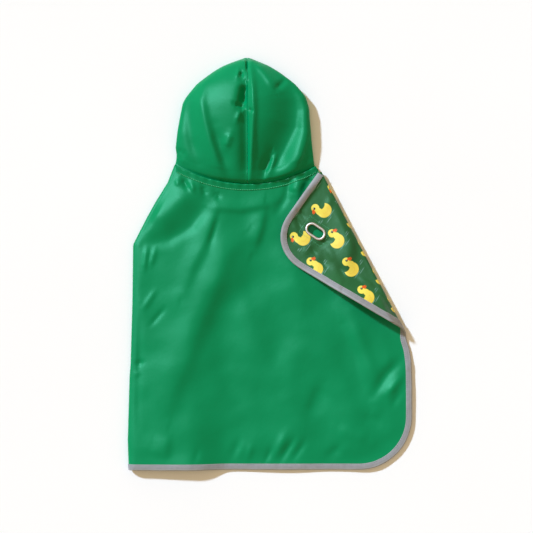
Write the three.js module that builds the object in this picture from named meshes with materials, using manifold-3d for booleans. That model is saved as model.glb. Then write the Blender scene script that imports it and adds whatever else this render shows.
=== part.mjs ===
// A hooded rain cape for a dog, laid flat on a table with its back up and its hood above it.
// The right front is folded back over the body, so the lining and the lead's eyelet show on top.
// The left front is folded under. Millimetres, +Z up. The origin is on the table, under the
// middle of the cape. +Y runs from the hem to the hood.
import * as THREE from 'three';
import Module from 'manifold-3d';

const wasm = await Module();
wasm.setup();

// ---- Cloth layers
const clothWall = 1.0; // shell, lining, hood, band and tape are each one wall of this thickness
const layerGap = 0.3; // between the shell and the lining
const halfStack = clothWall + layerGap / 2; // from the middle of the two layers to an outer face
const tapeWidth = 7.6; // how far the edge tape reaches in from the edge
const tapeGap = 0.4; // between the tape and the cloth it wraps
const tapeRise = clothWall + tapeGap; // a taped edge lies this much higher than bare cloth

// ---- Heights of the middle of the two layers above the table
const bodyRest = halfStack; // the lining lies on the table
const underRest = halfStack + tapeRise; // the folded-under front lies on its tape
const leftLift = 6.8; // the body where it lies over the folded-under front
const hemLift = 9.5; // the same at the hem, where the fold stands open
const flapRest = 5.4; // the folded-back front where it lies on the body
const flapOpen = 9.7; // the same at the foot of its fold, where the taped edge bends over
const flapOpens = [110, 245]; // it rises between these distances from the top of the fold
const liftGrows = [180, 288]; // the left lift grows to the hem's between these distances down
const supportHem = -127; // the folded-under front's inner edge, near the hem
const supportNeck = -80; // and near the neck
const supportTurns = [-90, 5]; // it goes from one to the other between these Y
const supportRamp = [20, 70]; // beyond that edge the body comes down over this stretch
const tapeRamp = [22, 45]; // and from a taped edge over this one

// ---- Plan of the cape
const seamX = -31.5; // the centre back seam
const hemY = -288;
const neckLeft = [-133.4, 136.4];
const neckRight = [64.4, 134.6];
const neckDepth = 26; // sag of the neckline's curve between its two ends
const sideX = 197.8; // the right side edge near the hem
const sideFoot = [189.4, -106.2]; // where the right side edge leaves the fold
const sideBend = 16; // below the fold the side edge swings out over about this length
const joinY = -139.4; // two lengths of edge tape meet here on the right side
const joinGap = 0.95; // from there to the end of either
const hemCorner = 73; // radius of the hem's corners
const flapCorner = [204.2, 132]; // the right front's top corner before it is folded
const flapCornerRadius = 48;
const foldTop = [71.4, 127.8]; // the right fold starts here, beside the neck
const foldAngle = THREE.MathUtils.degToRad(-62.44);
const foldFootT = 262; // length of the fold from there to the side edge
const leftOutline = [[136.4, -133.4], [113, -141], [26, -191], [-53, -192], [-160, -196],
  [-248, -198.5], [-288, -197]]; // y and x of the left side's two folds
const underOutline = [[-131, 136.4, 0], [-59, 26, 30], [-162, -41, 12], [-127.4, -106, 40],
  [-127.4, -288, hemCorner], [-193, -288, 0]]; // x, y and corner radius of the edge folded under

// ---- Main creases of the body, as soft ridges: their points, height and half width
const ridges = [
  { line: [[-84, 80], [-108, 38], [-131, -22]], height: 3, reach: 17 },
  { line: [[-52, 44], [-84, 4], [-116, -42]], height: 3, reach: 17 },
  { line: [[-96, -52], [-132, -178]], height: 2.6, reach: 18 },
  { line: [[166, -160], [140, -205]], height: 2.6, reach: 17 },
];

// ---- Hood
const hoodTopY = 287.6;
const hoodLeft = [[136.9, -133.6], [149, -131], [183, -129], [216, -123], [233, -116], [250, -102],
  [266, -81], [275, -67], [283, -47.6], [288, -38]]; // y and x of the hood's left outline
const hoodRight = [[136.9, 63.5], [149, 60], [183, 57], [216, 55], [233, 50], [250, 35],
  [266, 14], [275, 0], [283, -18], [288, -25]]; // y and x of its right outline
const hoodHeights = [[0, 0], [0.07, 15], [0.15, 25], [0.3, 31], [0.6, 32], [0.85, 22], [1, 8]];
const hoodRolls = [[0, 3.4], [0.12, 6], [0.3, 8], [0.8, 8], [1, 3]]; // height of its widest line
const faceEdge = [[0, 0.1], [0.62, 1], [1, 1]]; // how far its under side reaches to the seam
const seamGap = 0.15; // half the gap between its two panels
const neckGap = 1; // between the hood and the cape's neck edge

// ---- Eyelet, for the lead
const eyeletCut = [147, 88.2]; // its centre on the unfolded front
const eyeletHole = 5.75; // radius of the hole's round ends
const eyeletSpan = 12; // between the centres of those ends
const eyeletFlange = 3.65;
const eyeletBarrel = 1.0;
const eyeletAngle = THREE.MathUtils.degToRad(-35);

// ---- Colours
const looks = {
  shell: { color: 0x12945a, roughness: 0.55, metalness: 0 },
  lining: { color: 0x3d7a46, roughness: 0.85, metalness: 0 },
  tape: { color: 0x98999c, roughness: 0.6, metalness: 0 },
  metal: { color: 0xc9ccd0, roughness: 0.3, metalness: 1 },
};

// ---- Small helpers
const mix = (a, b, t) => a + (b - a) * t;
const clamp01 = (t) => Math.min(1, Math.max(0, t));
const range = (count) => Array.from({ length: count }, (_, index) => index);

function ramp(x, from, to) {
  const t = clamp01((x - from) / (to - from));
  return t * t * (3 - 2 * t);
}

// Straight-line interpolation in a list of [key, value], in either order of keys.
function lookUp(points, key) {
  const list = points[0][0] < points[points.length - 1][0] ? points : [...points].reverse();
  if (key <= list[0][0]) return list[0][1];
  for (let i = 1; i < list.length; i += 1) {
    const [k0, v0] = list[i - 1];
    const [k1, v1] = list[i];
    if (key <= k1) return mix(v0, v1, (key - k0) / (k1 - k0));
  }
  return list[list.length - 1][1];
}

// A path of straight lines whose corners are rounded by arcs. Each point is [x, y, radius].
function roundedPath(points, steps) {
  const path = [new THREE.Vector2(points[0][0], points[0][1])];
  for (let i = 1; i < points.length - 1; i += 1) {
    const corner = new THREE.Vector2(points[i][0], points[i][1]);
    const back = new THREE.Vector2(points[i - 1][0], points[i - 1][1]).sub(corner).normalize();
    const ahead = new THREE.Vector2(points[i + 1][0], points[i + 1][1]).sub(corner).normalize();
    const half = Math.acos(back.dot(ahead)) / 2;
    const radius = points[i][2];
    const centre = back.clone().add(ahead).normalize().multiplyScalar(radius / Math.sin(half)).add(corner);
    const start = back.clone().multiplyScalar(radius / Math.tan(half)).add(corner).sub(centre);
    const turn = (Math.PI - 2 * half) * Math.sign(ahead.cross(back));
    for (const k of range(steps + 1)) {
      path.push(start.clone().rotateAround(new THREE.Vector2(), (turn * k) / steps).add(centre));
    }
  }
  const last = points[points.length - 1];
  path.push(new THREE.Vector2(last[0], last[1]));
  return path;
}

function distanceToLine(x, y, line) {
  const point = new THREE.Vector3(x, y, 0);
  const nearest = new THREE.Vector3();
  return Math.min(...range(line.length - 1).map((i) => {
    const stretch = new THREE.Line3(new THREE.Vector3(...line[i], 0), new THREE.Vector3(...line[i + 1], 0));
    return stretch.closestPointToPoint(point, true, nearest).distanceTo(point);
  }));
}

// ---- Plan curves
function neckline(x) {
  const halfChord = (neckRight[0] - neckLeft[0]) / 2;
  const radius = (halfChord ** 2 + neckDepth ** 2) / (2 * neckDepth);
  const across = x - (neckLeft[0] + halfChord);
  if (x > neckRight[0]) {
    return mix(neckRight[1], foldTop[1], (x - neckRight[0]) / (foldTop[0] - neckRight[0]));
  }
  const chordY = mix(neckLeft[1], neckRight[1], clamp01((x - neckLeft[0]) / (2 * halfChord)));
  return chordY - Math.sqrt(radius ** 2 - across ** 2) + radius - neckDepth;
}

function rightSide(y) {
  return sideX - (sideX - sideFoot[0]) * Math.exp((y - sideFoot[1]) / sideBend);
}

const underEdgePath = roundedPath(underOutline, 6).map((p) => [p.y, p.x]);
const underEdge = (y) => lookUp(underEdgePath, y);

// How far inside the body's taped edge a point is: the side below the fold, the corner and the hem.
function edgeDistance(x, y) {
  const centreX = sideX - hemCorner;
  const centreY = hemY + hemCorner;
  if (x > centreX && y < centreY) return hemCorner - Math.hypot(x - centreX, y - centreY);
  const past = Math.max(0, rightSide(Math.min(y, sideFoot[1])) - x);
  const toSide = Math.hypot(past, Math.max(0, y - sideFoot[1]));
  return Math.min(toSide, y - hemY);
}

// ---- Height of the body's middle surface over the table
function bodyHeight(x, y) {
  const support = mix(supportHem, supportNeck, ramp(y, ...supportTurns));
  const liftHere = mix(leftLift, hemLift, ramp(-y, ...liftGrows)) - bodyRest;
  const overFront = liftHere * (1 - ramp(x - support, ...supportRamp));
  const overTape = tapeRise * (1 - ramp(edgeDistance(x, y), ...tapeRamp));
  const creases = ridges.map((r) => r.height * (1 - ramp(distanceToLine(x, y, r.line), 0, r.reach)));
  return bodyRest + Math.hypot(overFront, overTape, Math.max(...creases));
}

// ---- The left fold: where it starts to bend, and how wide it bends
function leftRoll(y) {
  const outline = lookUp(leftOutline, y);
  const radius = (bodyHeight(outline + 3, y) - underRest) / 2;
  return { start: outline + radius, radius };
}

// ---- The right fold, along t from its top and d out from its silhouette
const along = new THREE.Vector2(Math.cos(foldAngle), Math.sin(foldAngle));
const outward = new THREE.Vector2(-along.y, along.x);

function foldPlace(x, y) {
  const from = new THREE.Vector2(x - foldTop[0], y - foldTop[1]);
  return { t: from.dot(along), d: from.dot(outward) };
}

function foldPoint(t, d) {
  return new THREE.Vector2(...foldTop).addScaledVector(along, t).addScaledVector(outward, d);
}

const flapHeight = (t) => mix(flapRest, flapOpen, ramp(t, ...flapOpens));

function rightRoll(t) {
  const reach = clamp01(t / foldFootT) * foldFootT;
  let radius = 2.5;
  let start = foldPoint(reach, -radius);
  for (let pass = 0; pass < 3; pass += 1) {
    radius = (flapHeight(reach) - bodyHeight(start.x, start.y)) / 2;
    start = foldPoint(reach, -radius);
  }
  return radius;
}

// Distance from the fold's silhouette out to the unfolded front's edge, at t.
const frontEdgePath = roundedPath([[60, 130.8, 0], [...flapCorner, flapCornerRadius], [...sideFoot, 0]], 6)
  .map((p) => foldPlace(p.x, p.y))
  .map((place) => [place.t, place.d]);
const frontReach = (t) => (t >= foldFootT ? 0 : Math.max(0, lookUp(frontEdgePath, t) + rightRoll(t)));

// ---- The cape as folded: from a place on the unfolded cloth to a point of its middle surface
function folded(x, y) {
  const { t, d } = foldPlace(x, y);
  const radius = t > -8 && d > -9 ? rightRoll(t) : 0;
  const past = radius > 0 ? d + radius : -1;
  if (past > 0) {
    const start = foldPoint(t, -radius);
    const base = flapHeight(t) - 2 * radius;
    const arc = Math.PI * radius;
    const angle = Math.min(past, arc) / radius;
    const sideways = past < arc ? radius * Math.sin(angle) : arc - past;
    start.addScaledVector(outward, sideways);
    return new THREE.Vector3(start.x, start.y, base + radius * (1 - Math.cos(angle)));
  }
  const roll = leftRoll(y);
  const under = roll.start - x;
  if (under > 0) {
    const arc = Math.PI * roll.radius;
    const angle = Math.min(under, arc) / roll.radius;
    const sideways = under < arc ? -roll.radius * Math.sin(angle) : under - arc;
    return new THREE.Vector3(roll.start + sideways, y, underRest + roll.radius * (1 + Math.cos(angle)));
  }
  return new THREE.Vector3(x, y, bodyHeight(x, y));
}

function foldedNormal(x, y) {
  const step = 0.02;
  const overX = folded(x + step, y).sub(folded(x - step, y));
  const overY = folded(x, y + step).sub(folded(x, y - step));
  return overX.cross(overY).normalize();
}

// ---- The cape's grid: rows from the neck to the hem, each from the folded-under edge to the
// folded-back edge, all of them as places on the unfolded cloth
const rowYs = [136.4, 120, 104, 88, 72, 56, 40, 24, 6, -11, -28, -46, -64, -78, -88, -97,
  sideFoot[1], -122, joinY, -163, -190, -215, -233.9, -251.5, -266.6, -278.2, -285.5, hemY];
const footRow = rowYs.indexOf(sideFoot[1]);
const arcSteps = { under: 4, flap: 5 };
const flatSteps = { under: 3, flap: 4 };
const bodySteps = 16;
const hemReach = 40; // where the evenly spaced stations end
const rightInsets = [64, 42, 24, 12, 0]; // the other stations, measured in from the right end
const lipZone = 24; // the last two stations of a strip are this near its taped edge
const firstFlapT = 8; // the second row's place along the right fold
const neckDip = 9; // the neck edge drops at most this much below the line to the fold
const sagRows = 2; // the neckline's curve fades out over about this many rows

// Stations along a strip that first bends through an arc and then lies flat.
function stripStations(length, arc, bends, flats) {
  const count = bends + flats;
  if (length <= arc) return range(count).map((k) => (length * (k + 1)) / count);
  const flat = length - arc;
  const inner = Math.max(flat - lipZone, flat / 2);
  const bent = range(bends).map((k) => (arc * (k + 1)) / bends);
  const inside = range(flats - 2).map((k) => arc + (inner * (k + 1)) / (flats - 2));
  return [...bent, ...inside, arc + (inner + flat) / 2, length];
}

// Stations across the body, from the left fold's start to its right end.
function bodyStations(from, to) {
  const nearRight = rightInsets.map((inset) => to - inset);
  const reach = Math.min(nearRight[0] - rightInsets[0] / 3, hemReach);
  const count = bodySteps + 1 - nearRight.length;
  const inside = range(count).map((k) => mix(from, reach, k / (count - 1)));
  return [...inside, ...nearRight];
}

function capeRow(y, row) {
  const roll = leftRoll(y);
  const arc = Math.PI * roll.radius;
  const underLength = arc + Math.max(0.2, underEdge(y) - roll.start);
  const t = Math.min(foldFootT, (foldTop[1] - y) / -along.y);
  const rightT = row === 0 ? 0 : Math.max(t, firstFlapT);
  const flapRadius = rightRoll(rightT);
  const end = row <= footRow ? foldPoint(rightT, -flapRadius) : new THREE.Vector2(rightSide(y), y);
  if (y < hemY + hemCorner) {
    end.x = sideX - hemCorner + Math.sqrt(Math.max(0, hemCorner ** 2 - (hemY + hemCorner - y) ** 2));
  }
  const places = stripStations(underLength, arc, arcSteps.under, flatSteps.under)
    .reverse()
    .map((s) => [roll.start - s, y]);
  for (const x of bodyStations(roll.start, end.x)) {
    const chordY = mix(y, end.y, (x - roll.start) / (end.x - roll.start));
    const neckShare = clamp01((x - neckLeft[0]) / (neckRight[0] - neckLeft[0]));
    const neckSag = neckline(x) - mix(neckLeft[1], neckRight[1], neckShare);
    const sagged = chordY + neckSag * Math.exp(-row / sagRows);
    places.push([x, row === 0 ? Math.min(neckline(x), chordY + neckDip) : sagged]);
  }
  places[places.length - 1] = [end.x, end.y];
  if (row <= footRow) {
    const reach = row === footRow ? 0 : frontReach(rightT);
    for (const s of stripStations(reach, Math.PI * flapRadius, arcSteps.flap, flatSteps.flap)) {
      const place = foldPoint(rightT, s - flapRadius);
      places.push([place.x, place.y]);
    }
  }
  return places;
}

// ---- Solids from sheets
// Two facing grids of points become one closed body. Rows may be shorter than the row before.
function triangulate(rows, flip) {
  const triangles = [];
  const add = (a, b, c) => {
    if (a !== b && b !== c && c !== a) triangles.push(flip ? [a, c, b] : [a, b, c]);
  };
  for (let j = 0; j + 1 < rows.length; j += 1) {
    for (let i = 0; i + 1 < Math.min(rows[j].length, rows[j + 1].length); i += 1) {
      add(rows[j][i], rows[j + 1][i], rows[j][i + 1]);
      add(rows[j][i + 1], rows[j + 1][i], rows[j + 1][i + 1]);
    }
  }
  return triangles;
}

function closedGeometry(outer, inner, triangles) {
  const count = outer.length;
  const edges = new Map();
  const faces = [];
  for (const [a, b, c] of triangles) {
    faces.push([a, b, c], [a + count, c + count, b + count]);
    for (const [from, to] of [[a, b], [b, c], [c, a]]) edges.set(`${from}_${to}`, [from, to]);
  }
  for (const [from, to] of edges.values()) {
    if (!edges.has(`${to}_${from}`)) {
      faces.push([to, from, from + count], [to, from + count, to + count]);
    }
  }
  const used = new Map();
  const position = [];
  const index = faces.flat().map((vertex) => {
    if (!used.has(vertex)) {
      used.set(vertex, used.size);
      const point = vertex < count ? outer[vertex] : inner[vertex - count];
      position.push(point.x, point.y, point.z);
    }
    return used.get(vertex);
  });
  const geometry = new THREE.BufferGeometry();
  geometry.setAttribute('position', new THREE.Float32BufferAttribute(position, 3));
  geometry.setIndex(index);
  return geometry;
}

function gridIndex(rows) {
  let next = 0;
  return rows.map((row) => row.map(() => (next += 1) - 1));
}

// ---- The cape's points, with their place on the unfolded cloth
const capePlaces = rowYs.map(capeRow);
const capeIndex = gridIndex(capePlaces);
const footVertex = capeIndex[footRow][arcSteps.under + flatSteps.under + bodySteps];
capeIndex[footRow] = capeIndex[footRow].map((vertex) => Math.min(vertex, footVertex));
const capeFlat = capePlaces.flat();
const capeMiddle = capeFlat.map(([x, y]) => folded(x, y));
const capeNormals = capeFlat.map(([x, y]) => foldedNormal(x, y));
const capeTriangles = triangulate(capeIndex, false);

function offsetCape(distance) {
  return capeMiddle.map((p, i) => p.clone().addScaledVector(capeNormals[i], distance));
}

// The faceted cape at a place on the unfolded cloth: the point and the normal of its middle.
function onCape(x, y) {
  let best = null;
  for (const triangle of capeTriangles) {
    const [a, b, c] = triangle.map((vertex) => capeFlat[vertex]);
    const area = (b[0] - a[0]) * (c[1] - a[1]) - (c[0] - a[0]) * (b[1] - a[1]);
    const v = ((x - a[0]) * (c[1] - a[1]) - (c[0] - a[0]) * (y - a[1])) / area;
    const w = ((b[0] - a[0]) * (y - a[1]) - (x - a[0]) * (b[1] - a[1])) / area;
    const weights = [1 - v - w, v, w];
    const inside = Math.min(...weights);
    if (!best || inside > best.inside) best = { inside, weights, triangle };
  }
  const point = new THREE.Vector3();
  const normal = new THREE.Vector3();
  best.triangle.forEach((vertex, k) => {
    point.addScaledVector(capeMiddle[vertex], best.weights[k]);
    normal.addScaledVector(capeNormals[vertex], best.weights[k]);
  });
  return { point, normal: normal.normalize() };
}

function capeLayer(low, high) {
  return closedGeometry(offsetCape(high), offsetCape(low), capeTriangles);
}

// ---- Edge tape: a strip folded round the edge, from lip to lip
function tapeGeometry(path, lipSteps) {
  const outerRows = [];
  const innerRows = [];
  path.forEach((place, k) => {
    const before = path[Math.max(0, k - 1)];
    const after = path[Math.min(path.length - 1, k + 1)];
    const run = new THREE.Vector2(after[0] - before[0], after[1] - before[1]).normalize();
    const inward = new THREE.Vector2(run.y, -run.x);
    const lip = range(lipSteps + 1).map((step) => {
      const reach = (tapeWidth * step) / lipSteps;
      return onCape(place[0] + inward.x * reach, place[1] + inward.y * reach);
    });
    const edge = lip[0];
    const out = onCape(...before).point.sub(onCape(...after).point).cross(edge.normal).normalize();
    const section = (gap) => {
      const upper = [...lip].reverse().map((s) => s.point.clone().addScaledVector(s.normal, halfStack + gap));
      const lower = lip.map((s) => s.point.clone().addScaledVector(s.normal, -halfStack - gap));
      const nose = [0.6, -0.6].map((share) => edge.point.clone()
        .addScaledVector(edge.normal, share * halfStack)
        .addScaledVector(out, gap));
      return [...upper, ...nose, ...lower];
    };
    outerRows.push(section(tapeGap + clothWall));
    innerRows.push(section(tapeGap));
  });
  return closedGeometry(outerRows.flat(), innerRows.flat(), triangulate(gridIndex(outerRows), false));
}

const frontTapeEndY = -64; // the row where the front's tape stops, short of the tight fold
const firstPlace = (row) => row[0];
const lastPlace = (row) => row[row.length - 1];

function frontTapePath() {
  return capePlaces.slice(1, rowYs.indexOf(frontTapeEndY) + 1).map(lastPlace);
}

function sideTapePath() {
  const end = [rightSide(joinY), joinY + joinGap];
  return [...capePlaces.slice(footRow, rowYs.indexOf(joinY)).map(lastPlace), end];
}

function hemTapePath() {
  const start = [rightSide(joinY), joinY - joinGap];
  const sideRows = [start, ...capePlaces.slice(rowYs.indexOf(joinY) + 1, -1).map(lastPlace)];
  const hemRow = [...capePlaces[capePlaces.length - 1]].reverse();
  return [...sideRows, ...hemRow.slice(0, -flatSteps.under)];
}

function underTapePath() {
  return capePlaces.slice(1, -2).map(firstPlace).reverse();
}

// ---- Neck band: the topstitched seam allowance along the neckline
const bandWidth = 7;
const bandEnds = [neckLeft[0] + 12, neckRight[0] - 1];

function neckBandGeometry() {
  const row = capePlaces[0].filter(([x]) => x > bandEnds[0] && x < bandEnds[1]);
  const rows = row.map(([x, y]) => [0.2, bandWidth / 2, bandWidth].map((down) => onCape(x, y - down)));
  const offset = (distance) => rows.flat().map((s) => s.point.clone().addScaledVector(s.normal, distance));
  const lift = halfStack + tapeGap;
  return closedGeometry(offset(lift + clothWall), offset(lift), triangulate(gridIndex(rows), true));
}

// ---- Hood: two panels that meet at the seam, each rolled under to its face edge
const hoodRowsV = [0, 0.035, 0.08, 0.15, 0.24, 0.34, 0.45, 0.56, 0.66, 0.75, 0.83, 0.9, 0.96, 1];
const hoodTopShares = [0, 0.2, 0.4, 0.58, 0.73, 0.86, 0.95, 1];
const hoodRollAngles = [30, 60, 90];
const hoodUnderShares = [0.35, 0.7, 1];
const neckLeave = 12; // the hood leaves the neckline's curve within 1/12 of its height
const neckRise = 14; // and its base's height within 1/14
const hoodBaseX = neckLeft[0] + 4; // left of this the base keeps the height it has here
const cornerHeight = 0.8; // the base's two outer corners are this share of it
const rollDepth = 0.6; // how deep the face edge rolls under, as a share of its height

function hoodSection(side, v) {
  const outline = side < 0 ? hoodLeft : hoodRight;
  const outerY = mix(outline[0][0], hoodTopY, v);
  const seamY = mix(neckline(seamX) + neckGap, hoodTopY, v);
  const half = (lookUp(outline, outerY) - seamX) * side - seamGap;
  const place = (share) => {
    const x = seamX + side * (seamGap + half * share);
    const curved = mix(seamY, outerY, share ** 2);
    const atNeck = neckline(x) + neckGap;
    return [x, mix(atNeck, curved, clamp01(v * neckLeave))];
  };
  const widest = lookUp(hoodRolls, v);
  const shape = (share) => (1 - share ** 2.4) ** 0.6;
  const top = hoodTopShares.map((share) => {
    const [x, y] = place(share);
    const neckTop = bodyHeight(Math.max(x, hoodBaseX), neckline(x)) + halfStack;
    const height = v === 0 && share === 1 ? cornerHeight : 1;
    const puffed = widest + (Math.max(lookUp(hoodHeights, v), widest) - widest) * shape(share);
    return new THREE.Vector3(x, y, mix(neckTop, puffed, clamp01(v * neckRise)) * height);
  });
  const edge = top[top.length - 1];
  const inset = Math.min(rollDepth * widest, half * 0.3);
  const roll = hoodRollAngles.map((degrees) => {
    const angle = THREE.MathUtils.degToRad(degrees);
    const x = edge.x - side * inset * (1 - Math.cos(angle));
    return new THREE.Vector3(x, edge.y, edge.z * (1 - Math.sin(angle)));
  });
  const underReach = (half - inset) * lookUp(faceEdge, v);
  const under = hoodUnderShares.map((share) => (
    new THREE.Vector3(edge.x - side * (inset + underReach * share), edge.y, 0)));
  return [...top, ...roll, ...under];
}

function hoodPanel(side) {
  const rows = hoodRowsV.map((v) => hoodSection(side, v));
  const points = rows.flat();
  const triangles = triangulate(gridIndex(rows), side > 0);
  const normals = points.map(() => new THREE.Vector3());
  for (const [a, b, c] of triangles) {
    const face = points[b].clone().sub(points[a]).cross(points[c].clone().sub(points[a])).normalize();
    for (const vertex of [a, b, c]) normals[vertex].add(face);
  }
  const inner = points.map((point, i) => {
    const normal = normals[i];
    if (Math.abs(point.x - seamX) < 2 * seamGap) normal.x = 0;
    if (point.z === 0) normal.set(0, 0, -1);
    return point.clone().addScaledVector(normal.normalize(), -clothWall);
  });
  return closedGeometry(points, inner, triangles);
}

// ---- Eyelet: a metal rim round an oblong hole, clamped over both layers of the flap
function oblong(radius, steps) {
  const points = [];
  for (const end of [1, -1]) {
    for (const k of range(steps + 1)) {
      const angle = Math.PI * (k / steps - 0.5) + (end < 0 ? Math.PI : 0);
      const x = (end * eyeletSpan) / 2 + radius * Math.cos(angle);
      points.push(new THREE.Vector2(x, radius * Math.sin(angle)));
    }
  }
  return points;
}

const eyeletPlace = onCape(...eyeletCut).point;

function placeEyelet(geometry) {
  geometry.rotateZ(eyeletAngle);
  geometry.translate(eyeletPlace.x, eyeletPlace.y, eyeletPlace.z);
  return geometry;
}

function eyeletGeometry() {
  const top = halfStack + layerGap;
  const bottom = -top;
  const profile = [[0, bottom - 0.8], [0, top + 0.2], [0.5, top + 1.0], [1.8, top + 1.5],
    [3.1, top + 1.0], [eyeletFlange, top + 0.3], [eyeletFlange - 0.1, top], [eyeletBarrel, top],
    [eyeletBarrel, bottom], [eyeletFlange - 0.2, bottom], [eyeletFlange - 0.2, bottom - 0.8]];
  const rings = profile.map(([out, z]) => (
    oblong(eyeletHole + out, 8).map((p) => new THREE.Vector3(p.x, p.y, z))));
  const across = rings[0].length;
  const position = rings.flat().flatMap((p) => [p.x, p.y, p.z]);
  const index = [];
  for (const j of range(rings.length)) {
    for (const i of range(across)) {
      const [a, b] = [j * across + i, j * across + ((i + 1) % across)];
      const next = ((j + 1) % rings.length) * across;
      const [c, d] = [next + i, next + ((i + 1) % across)];
      index.push(a, c, b, b, c, d);
    }
  }
  const geometry = new THREE.BufferGeometry();
  geometry.setAttribute('position', new THREE.Float32BufferAttribute(position, 3));
  geometry.setIndex(index);
  return placeEyelet(geometry);
}

// ---- The hole for the eyelet, cut through the flap's layers
function toManifold(geometry) {
  const vertProperties = new Float32Array(geometry.getAttribute('position').array);
  const triVerts = new Uint32Array(geometry.getIndex().array);
  return new wasm.Manifold(new wasm.Mesh({ numProp: 3, vertProperties, triVerts }));
}

function fromManifold(solid) {
  const mesh = solid.getMesh();
  const geometry = new THREE.BufferGeometry();
  geometry.setAttribute('position', new THREE.Float32BufferAttribute(mesh.vertProperties, 3));
  geometry.setIndex([...mesh.triVerts]);
  return geometry;
}

function holePlug() {
  const outline = oblong(eyeletHole + eyeletBarrel + layerGap, 8);
  const depth = 2 * (halfStack + layerGap);
  const count = outline.length;
  const position = [-depth / 2, depth / 2].flatMap((z) => outline.flatMap((p) => [p.x, p.y, z]));
  const index = [];
  for (const i of range(count)) {
    const next = (i + 1) % count;
    index.push(i, next, count + i, next, count + next, count + i);
  }
  for (const i of range(count - 2)) index.push(0, i + 2, i + 1, count, count + i + 1, count + i + 2);
  const geometry = new THREE.BufferGeometry();
  geometry.setAttribute('position', new THREE.Float32BufferAttribute(position, 3));
  geometry.setIndex(index);
  return placeEyelet(geometry);
}

function withEyeletHole(geometry) {
  return fromManifold(toManifold(geometry).subtract(toManifold(holePlug())));
}

// ---- The object
const group = new THREE.Group();

function addPiece(name, geometry, look) {
  const mesh = new THREE.Mesh(geometry, new THREE.MeshStandardMaterial(looks[look]));
  mesh.name = name;
  group.add(mesh);
}

addPiece('cape_shell', withEyeletHole(capeLayer(layerGap / 2, halfStack)), 'shell');
addPiece('cape_lining', withEyeletHole(capeLayer(-halfStack, -layerGap / 2)), 'lining');
addPiece('neck_band', neckBandGeometry(), 'shell');
addPiece('hood_left', hoodPanel(-1), 'shell');
addPiece('hood_right', hoodPanel(1), 'shell');
addPiece('tape_right_front', tapeGeometry(frontTapePath(), 3), 'tape');
addPiece('tape_right_side', tapeGeometry(sideTapePath(), 1), 'tape');
addPiece('tape_hem', tapeGeometry(hemTapePath(), 1), 'tape');
addPiece('tape_left_front', tapeGeometry(underTapePath(), 1), 'tape');
addPiece('eyelet', eyeletGeometry(), 'metal');

export default group;
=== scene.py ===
"""A hooded dog rain cape laid flat, back up, with its right front folded back over the body.

Shapes are worked out in millimetres and turned into metres when a mesh is made.
"""
import math

import bpy
import numpy as np
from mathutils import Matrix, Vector


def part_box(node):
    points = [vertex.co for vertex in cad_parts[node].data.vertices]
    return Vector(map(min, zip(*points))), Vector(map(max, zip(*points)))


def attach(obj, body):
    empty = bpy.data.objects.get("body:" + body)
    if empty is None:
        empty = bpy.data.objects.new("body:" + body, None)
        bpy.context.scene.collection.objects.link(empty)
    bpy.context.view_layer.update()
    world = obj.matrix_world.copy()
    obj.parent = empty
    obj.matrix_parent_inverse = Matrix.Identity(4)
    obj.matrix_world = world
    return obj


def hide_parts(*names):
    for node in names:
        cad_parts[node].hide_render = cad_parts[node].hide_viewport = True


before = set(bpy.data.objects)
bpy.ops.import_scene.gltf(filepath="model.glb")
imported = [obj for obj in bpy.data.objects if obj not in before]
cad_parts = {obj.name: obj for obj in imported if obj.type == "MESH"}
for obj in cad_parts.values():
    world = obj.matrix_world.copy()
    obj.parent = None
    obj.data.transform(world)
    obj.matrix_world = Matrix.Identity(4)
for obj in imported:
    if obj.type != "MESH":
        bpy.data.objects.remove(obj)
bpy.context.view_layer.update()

MM = 0.001


def box_mm(node):
    """Lowest and highest corner of a CAD node, in millimetres."""
    low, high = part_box(node)
    return np.array(low) / MM, np.array(high) / MM


# ---------------------------------------------------------------- sizes, in millimetres
LINING_LOW, LINING_HIGH = box_mm("cape_lining")
HOOD_HIGH = box_mm("hood_left")[1]

CLOTH = 0.55  # thickness of the shell and of the lining
CLOTH_GAP = 0.1  # half the gap between them
STACK = CLOTH + CLOTH_GAP  # from the middle surface to an outer face
TAPE_WIDTH = 7.3
TAPE = 0.6  # thickness of the edge tape
TAPE_GAP = 0.12
TAPE_OUTER = STACK + TAPE_GAP + TAPE

BODY_REST = STACK + 0.1  # heights of the middle surface: the body where it lies on the table
TAPE_RISE = TAPE + TAPE_GAP  # what a tape beneath it adds
UNDER_REST = BODY_REST + TAPE_RISE + 0.15  # the front that is folded under
BILLOW = 2.6  # how far the loose body stands off the table between its creases
EDGE_DROP = 3.2  # how much the body rounds down to its left fold
EDGE_LIFT = 2.6  # how far the free edge stands off the table
LEFT_LIFT = 8.4  # the body over the folded-under front, near the neck and near the hem
HEM_LIFT = 10.5
FLAP_REST = 8.2  # the flap, near the neck and near the foot of its fold
FLAP_OPEN = 11.5
FLAP_LOWER_LIFT = 15.0  # how far the flap's lower and upper edge stand up off the body
FLAP_UPPER_LIFT = 3.6
BODY_CREASES_SHARE = 0.85  # of the heights listed below
FLAP_WAVES_SHARE = 0.6

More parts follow.
